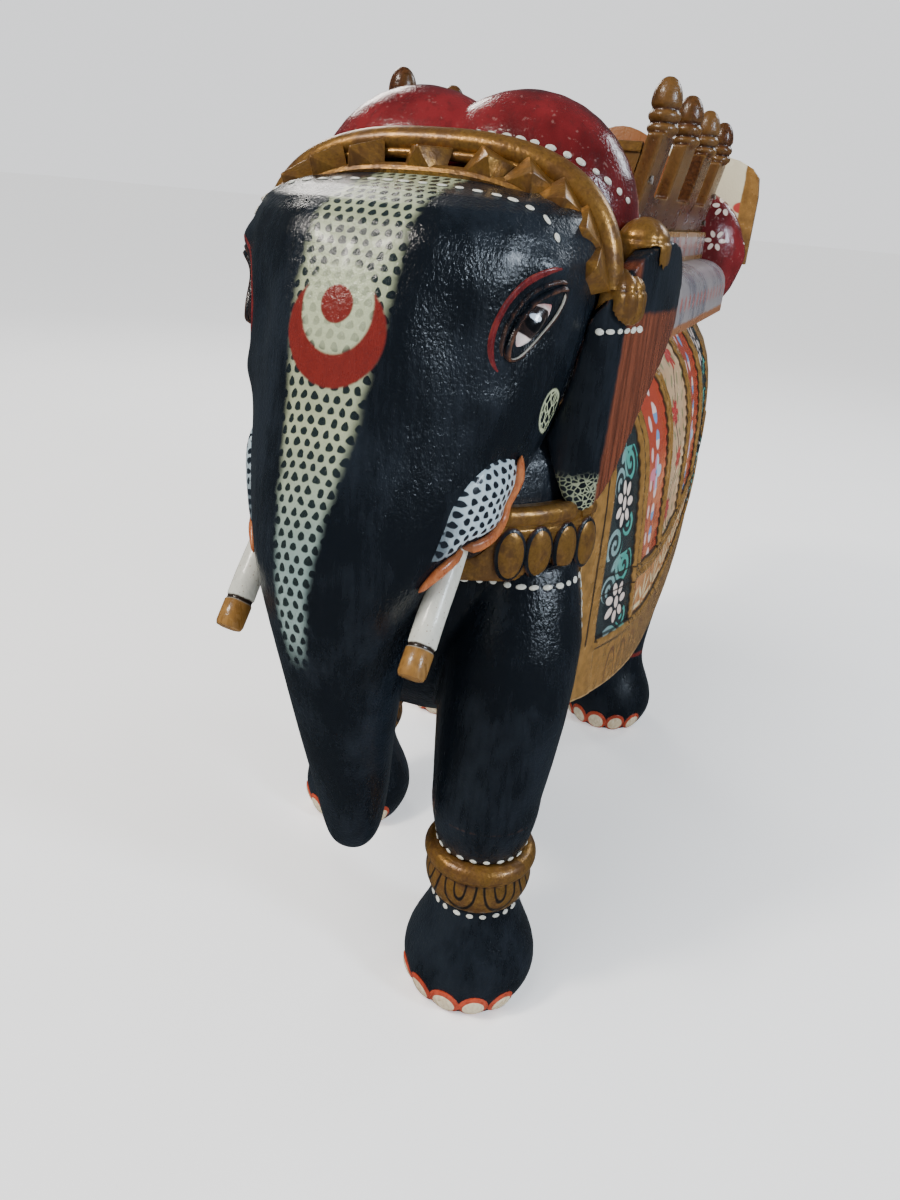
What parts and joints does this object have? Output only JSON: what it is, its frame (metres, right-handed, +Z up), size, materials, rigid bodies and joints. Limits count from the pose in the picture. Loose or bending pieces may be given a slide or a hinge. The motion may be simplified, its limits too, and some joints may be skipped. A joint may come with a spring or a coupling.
{
  "type": "elephant figurine",
  "caption": "Walking elephant statuette of carved, painted wood with a howdah on its back, standing on its own feet.",
  "frame": {"origin": "centre of the bounding box, at the level of the four soles", "axes": "+Z up, the face and trunk look along -Y, the elephant's own left side is +X"},
  "size_m": [0.2126, 0.5026, 0.4597],
  "materials": {
    "black_lacquer": "glossy black lacquer over carved wood",
    "gold_paint": "bronze-gold paint, worn to brown on the edges",
    "red_lacquer": "glossy red lacquer",
    "ear_paint": "black and terracotta lacquer",
    "painted_cloth": "painted bands under varnish",
    "pale_paint": "pale paint under varnish",
    "cream_paint": "cream paint under varnish",
    "howdah_brown": "brown stain with gold paint, varnished",
    "tusk_white": "off-white paint with a gold end",
    "bare_wood": "bare turned hardwood",
    "nail_steel": "dull wire nail"
  },
  "bodies": {
    "root": {"torso": "black_lacquer", "head": "black_lacquer", "neck_dowel": "bare_wood", "leg_front_left": "black_lacquer", "leg_front_right": "black_lacquer", "anklet_front_left": "gold_paint", "anklet_front_right": "gold_paint", "foot_front_left": "black_lacquer", "foot_front_right": "black_lacquer", "leg_rear_left": "black_lacquer", "leg_rear_right": "black_lacquer", "leg_dowels": "bare_wood", "collar": "gold_paint", "crown": "red_lacquer", "head_roll": "gold_paint", "stud_band": "gold_paint", "ear_left": "ear_paint", "ear_right": "ear_paint", "ear_pegs": "bare_wood", "ear_bud_left": "gold_paint", "ear_bud_right": "gold_paint", "roll_end_left": "gold_paint", "roll_end_right": "gold_paint", "tusk_left": "tusk_white", "tusk_right": "tusk_white", "side_cloth_left": "painted_cloth", "side_cloth_right": "painted_cloth", "saddle_pad": "pale_paint", "base_pegs": "bare_wood", "howdah_base": "pale_paint", "howdah_side_left": "howdah_brown", "howdah_side_right": "howdah_brown", "howdah_front": "howdah_brown", "howdah_rear": "howdah_brown", "howdah_rail": "gold_paint", "howdah_nails": "nail_steel", "rump_bolster": "red_lacquer", "back_panel": "cream_paint", "panel_nails": "nail_steel", "tail": "black_lacquer"}
  },
  "joints": []
}
